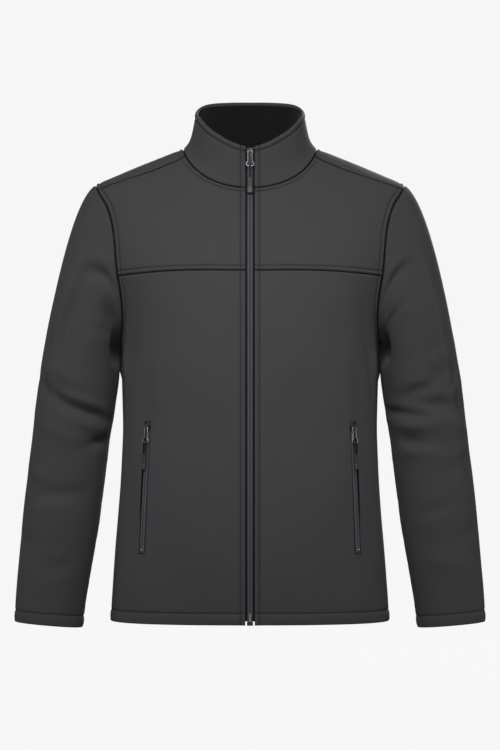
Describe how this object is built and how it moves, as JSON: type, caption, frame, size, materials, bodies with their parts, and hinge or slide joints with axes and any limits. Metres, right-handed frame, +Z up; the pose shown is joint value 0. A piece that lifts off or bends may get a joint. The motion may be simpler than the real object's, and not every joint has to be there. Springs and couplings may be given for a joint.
{
  "type": "softshell jacket",
  "caption": "Zip-front softshell jacket with stand collar, chest seams, set-in sleeves and zipped hand pockets, filled out as if worn.",
  "frame": {"origin": "middle of the neck hole, level with the top of the shoulders", "axes": "+Z up, the front faces -Y, +X is the wearer's left"},
  "size_m": [0.7238, 0.27, 0.8163],
  "materials": {
    "softshell": "matt, close-woven stretch face with a fleece back",
    "fleece": "matt brushed fleece",
    "zip": "dyed coil and tape",
    "slider": "dark plated, satin",
    "wire": "dark nickel",
    "cord": "braided cord",
    "grip": "moulded, satin"
  },
  "bodies": {
    "jacket": {"front_lower_left": "softshell", "front_lower_right": "softshell", "front_yoke_left": "softshell", "front_yoke_right": "softshell", "back": "softshell", "sleeve_left": "softshell", "sleeve_right": "softshell", "collar": "softshell", "collar_facing": "fleece", "front_zip_left": "zip", "front_zip_right": "zip", "front_zip_box": "zip", "pocket_zip_left": "zip", "pocket_zip_right": "zip", "front_slider": "slider", "pocket_slider_left": "slider", "pocket_slider_right": "slider"},
    "front_pull": {"front_pull_frame": "wire", "front_pull_cord": "cord", "front_pull_grip": "grip"},
    "left_pull": {"pocket_pull_frame_left": "wire", "pocket_pull_cord_left": "cord", "pocket_pull_grip_left": "grip"},
    "right_pull": {"pocket_pull_frame_right": "wire", "pocket_pull_cord_right": "cord", "pocket_pull_grip_right": "grip"}
  },
  "joints": [
    {"name": "front_pull_hinge", "type": "hinge", "parent": "jacket", "child": "front_pull", "pos_m": [0, -0.08209, -0.00748], "axis": [-1, 0, 0], "range_deg": [0, 150]},
    {"name": "left_pull_hinge", "type": "hinge", "parent": "jacket", "child": "left_pull", "pos_m": [0.15836, -0.09615, -0.42899], "axis": [-0.717, -0.6942, -0.0628], "range_deg": [0, 150]},
    {"name": "right_pull_hinge", "type": "hinge", "parent": "jacket", "child": "right_pull", "pos_m": [-0.15748, -0.09499, -0.42891], "axis": [-0.6958, 0.7158, 0.0591], "range_deg": [0, 150]}
  ]
}
